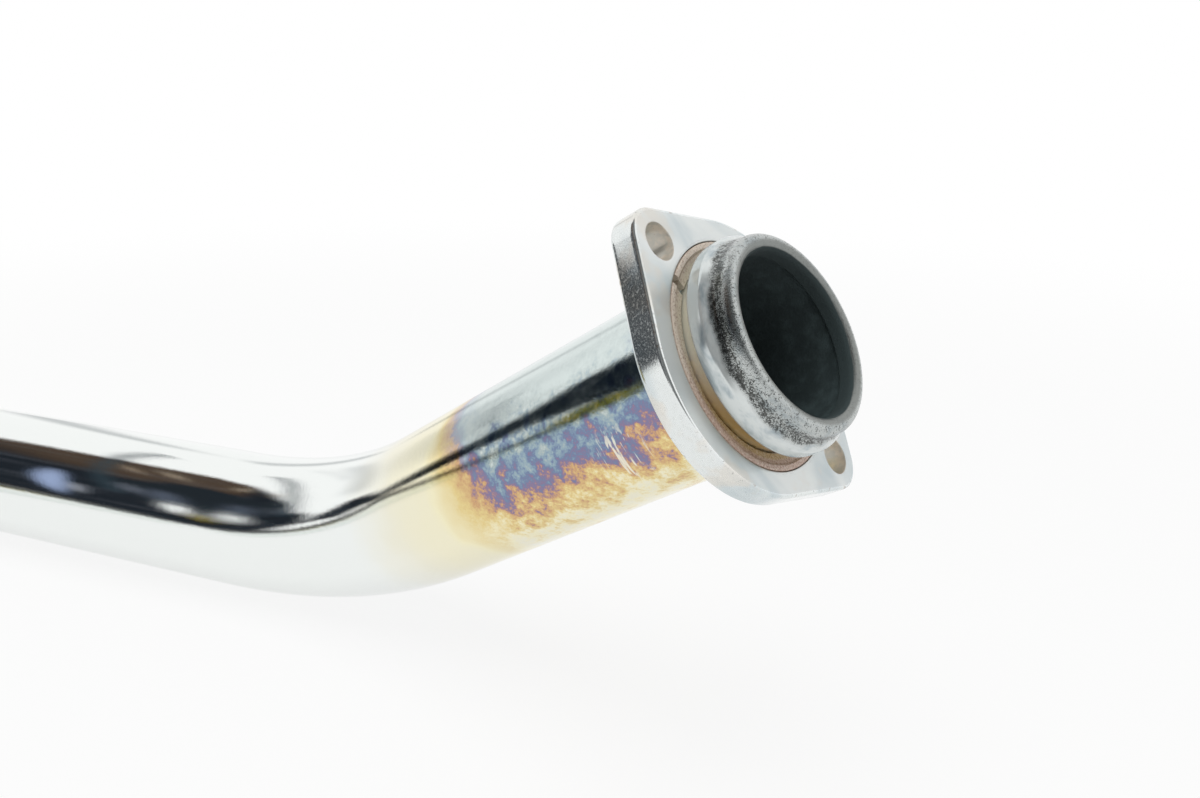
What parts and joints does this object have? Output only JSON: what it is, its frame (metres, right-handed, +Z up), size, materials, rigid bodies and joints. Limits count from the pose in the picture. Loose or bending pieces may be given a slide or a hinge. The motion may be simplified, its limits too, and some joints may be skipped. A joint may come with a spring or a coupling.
{
  "type": "motorcycle exhaust header",
  "caption": "Bent chromed exhaust header tube with a rounded port collar, a loose two-hole flange and the split ring that keeps it on.",
  "frame": {"origin": "centre of the flange's port face, on the port axis and between the two bolt holes", "axes": "+Z up as the header lies on a table, -X along the long straight away from the port, -Y out of the cut outlet"},
  "size_m": [0.4773, 0.3122, 0.14],
  "materials": {
    "pipe_chrome": "polished chrome with heat tint along the port leg",
    "collar_steel": "turned steel, smooth on the shoulder band and pitted on the slope and bead",
    "ring_steel": "heat-browned spring steel",
    "flange_chrome": "chrome plate, a little cloudy, with rust specks along its edges"
  },
  "bodies": {
    "pipe": {"header_pipe": "pipe_chrome", "port_collar": "collar_steel", "retaining_ring": "ring_steel"},
    "flange": {"port_flange": "flange_chrome"}
  },
  "joints": [
    {"name": "flange_swivel", "type": "hinge", "parent": "pipe", "child": "flange", "pos_m": [0, 0, 0], "axis": [0.8406, -0.194, 0.5058], "continuous": true}
  ]
}
